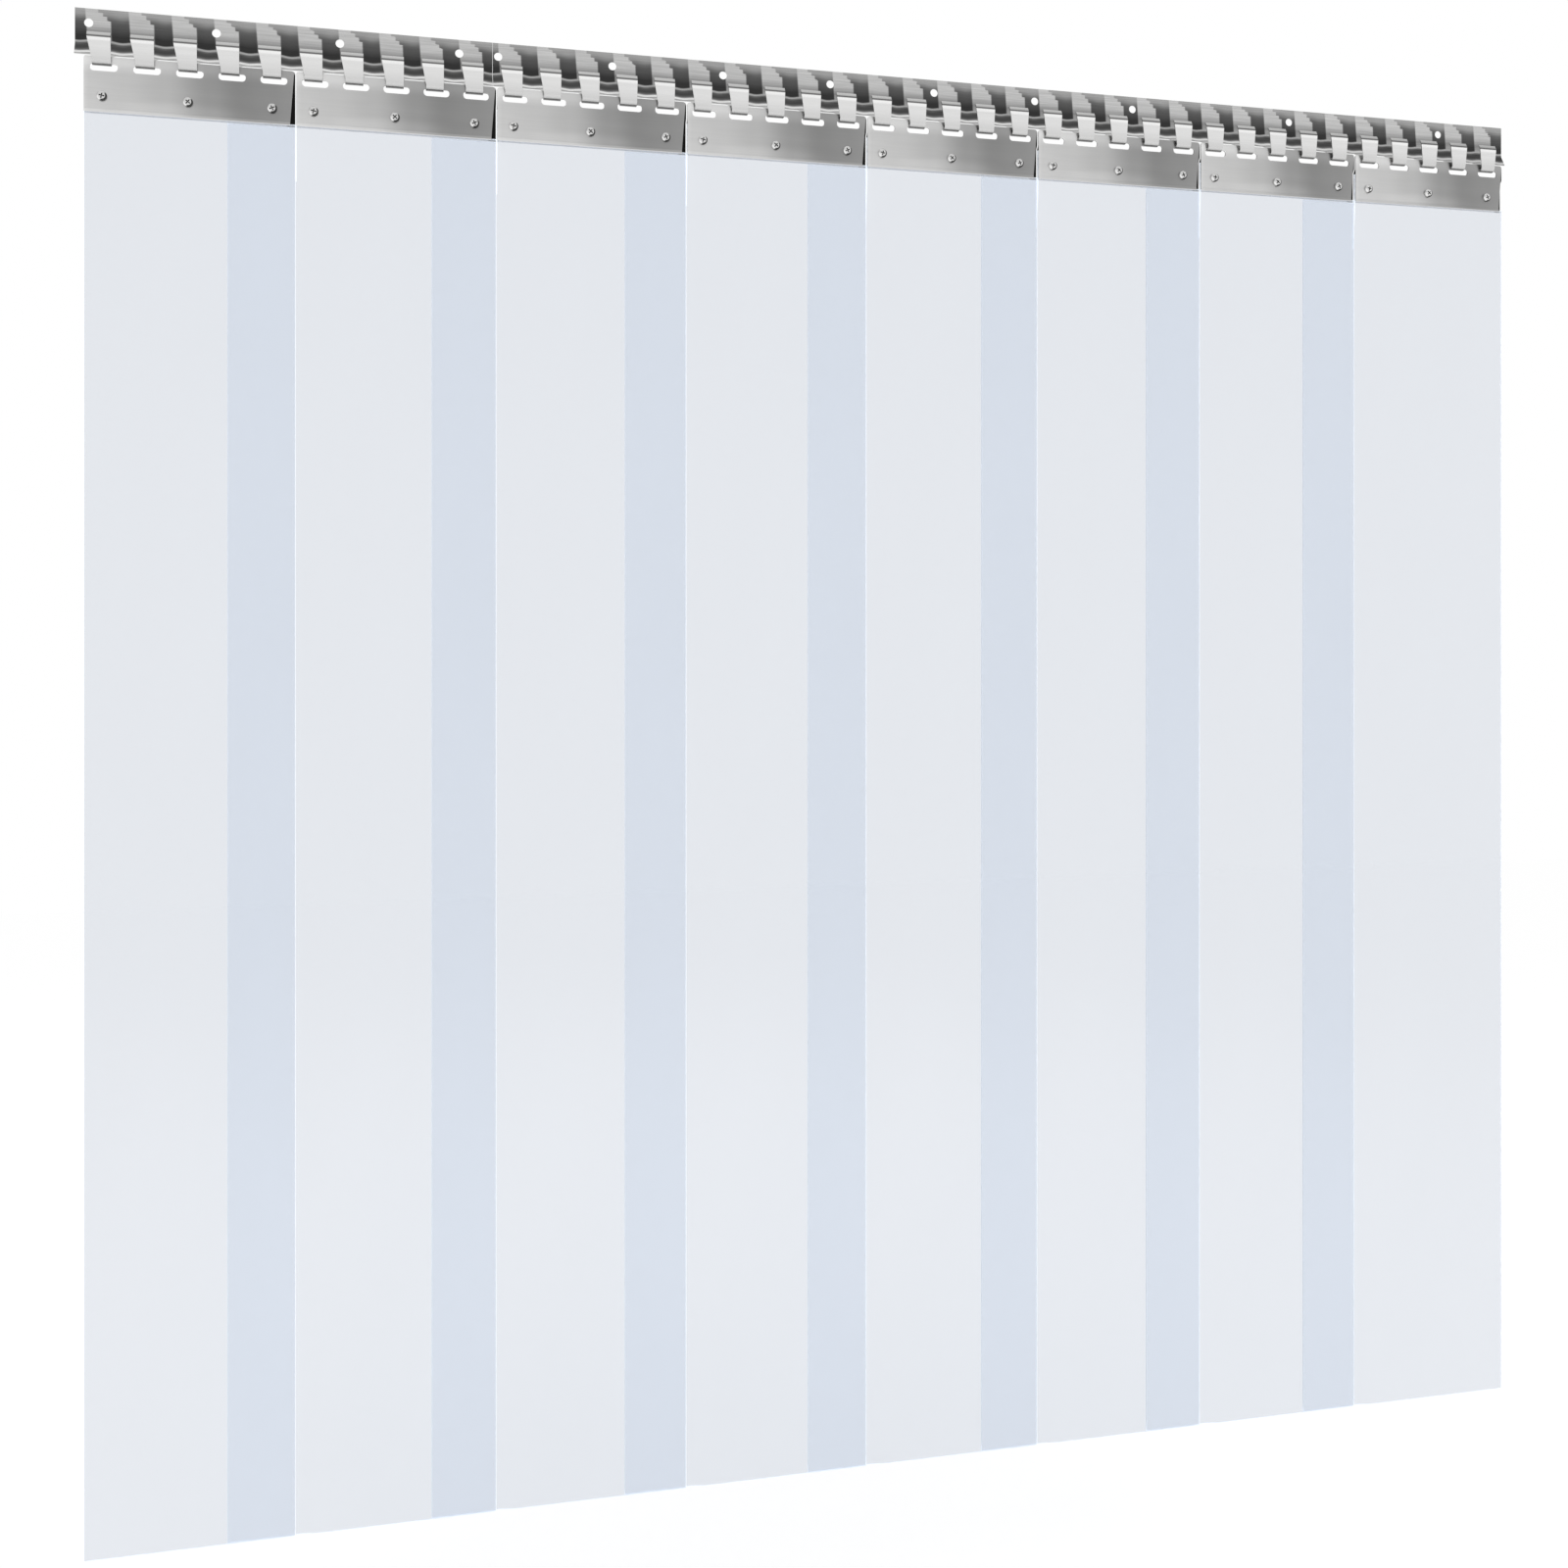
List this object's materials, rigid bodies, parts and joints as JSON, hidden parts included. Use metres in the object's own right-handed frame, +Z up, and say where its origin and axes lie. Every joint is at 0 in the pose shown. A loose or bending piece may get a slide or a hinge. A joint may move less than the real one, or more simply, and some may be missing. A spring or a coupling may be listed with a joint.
{
  "type": "pvc strip curtain",
  "caption": "Clear PVC strip curtain: lapped hanging strips held in screwed steel clamp plates that hook over a stainless comb rail on the wall above a doorway.",
  "frame": {"origin": "on the wall face of the rail, at half the width of the curtain and at the height of the wall holes", "axes": "+X along the rail to the right as seen from the front, +Y into the wall, +Z up"},
  "size_m": [1.831, 0.0284, 1.722],
  "materials": {
    "rail_steel": "bright stainless sheet with a light lengthways grain",
    "plate_steel": "satin stainless sheet",
    "screw_steel": "bright stainless screw",
    "clear_pvc": "smooth clear soft PVC with a faint blue tint"
  },
  "bodies": {
    "rail": {"rail_left": "rail_steel", "rail_right": "rail_steel"},
    "clamp_1": {"front_plate_1": "plate_steel", "rear_plate_1": "plate_steel", "strip_1": "clear_pvc", "screw_1_left": "screw_steel", "screw_1_middle": "screw_steel", "screw_1_right": "screw_steel"},
    "clamp_2": {"front_plate_2": "plate_steel", "rear_plate_2": "plate_steel", "strip_2": "clear_pvc", "screw_2_left": "screw_steel", "screw_2_middle": "screw_steel", "screw_2_right": "screw_steel"},
    "clamp_3": {"front_plate_3": "plate_steel", "rear_plate_3": "plate_steel", "strip_3": "clear_pvc", "screw_3_left": "screw_steel", "screw_3_middle": "screw_steel", "screw_3_right": "screw_steel"},
    "clamp_4": {"front_plate_4": "plate_steel", "rear_plate_4": "plate_steel", "strip_4": "clear_pvc", "screw_4_left": "screw_steel", "screw_4_middle": "screw_steel", "screw_4_right": "screw_steel"},
    "clamp_5": {"front_plate_5": "plate_steel", "rear_plate_5": "plate_steel", "strip_5": "clear_pvc", "screw_5_left": "screw_steel", "screw_5_middle": "screw_steel", "screw_5_right": "screw_steel"},
    "clamp_6": {"front_plate_6": "plate_steel", "rear_plate_6": "plate_steel", "strip_6": "clear_pvc", "screw_6_left": "screw_steel", "screw_6_middle": "screw_steel", "screw_6_right": "screw_steel"},
    "clamp_7": {"front_plate_7": "plate_steel", "rear_plate_7": "plate_steel", "strip_7": "clear_pvc", "screw_7_left": "screw_steel", "screw_7_middle": "screw_steel", "screw_7_right": "screw_steel"},
    "clamp_8": {"front_plate_8": "plate_steel", "rear_plate_8": "plate_steel", "strip_8": "clear_pvc", "screw_8_left": "screw_steel", "screw_8_middle": "screw_steel", "screw_8_right": "screw_steel"}
  },
  "joints": [
    {"name": "strip_1_swing", "type": "hinge", "parent": "rail", "child": "clamp_1", "pos_m": [-0.791, -0.01905, -0.04607], "axis": [1, 0, 0], "range_deg": [-60, 10]},
    {"name": "strip_2_swing", "type": "hinge", "parent": "rail", "child": "clamp_2", "pos_m": [-0.565, -0.01905, -0.04607], "axis": [1, 0, 0], "range_deg": [-60, 10]},
    {"name": "strip_3_swing", "type": "hinge", "parent": "rail", "child": "clamp_3", "pos_m": [-0.339, -0.01905, -0.04607], "axis": [1, 0, 0], "range_deg": [-60, 10]},
    {"name": "strip_4_swing", "type": "hinge", "parent": "rail", "child": "clamp_4", "pos_m": [-0.113, -0.01905, -0.04607], "axis": [1, 0, 0], "range_deg": [-60, 10]},
    {"name": "strip_5_swing", "type": "hinge", "parent": "rail", "child": "clamp_5", "pos_m": [0.113, -0.01905, -0.04607], "axis": [1, 0, 0], "range_deg": [-60, 10]},
    {"name": "strip_6_swing", "type": "hinge", "parent": "rail", "child": "clamp_6", "pos_m": [0.339, -0.01905, -0.04607], "axis": [1, 0, 0], "range_deg": [-60, 10]},
    {"name": "strip_7_swing", "type": "hinge", "parent": "rail", "child": "clamp_7", "pos_m": [0.565, -0.01905, -0.04607], "axis": [1, 0, 0], "range_deg": [-60, 10]},
    {"name": "strip_8_swing", "type": "hinge", "parent": "rail", "child": "clamp_8", "pos_m": [0.791, -0.01905, -0.04607], "axis": [1, 0, 0], "range_deg": [-60, 10]}
  ],
  "couplings": [
    {"joint": "strip_2_swing", "follows": "strip_1_swing", "ratio": 1},
    {"joint": "strip_3_swing", "follows": "strip_1_swing", "ratio": 1},
    {"joint": "strip_4_swing", "follows": "strip_1_swing", "ratio": 1},
    {"joint": "strip_5_swing", "follows": "strip_1_swing", "ratio": 1},
    {"joint": "strip_6_swing", "follows": "strip_1_swing", "ratio": 1},
    {"joint": "strip_7_swing", "follows": "strip_1_swing", "ratio": 1},
    {"joint": "strip_8_swing", "follows": "strip_1_swing", "ratio": 1}
  ]
}
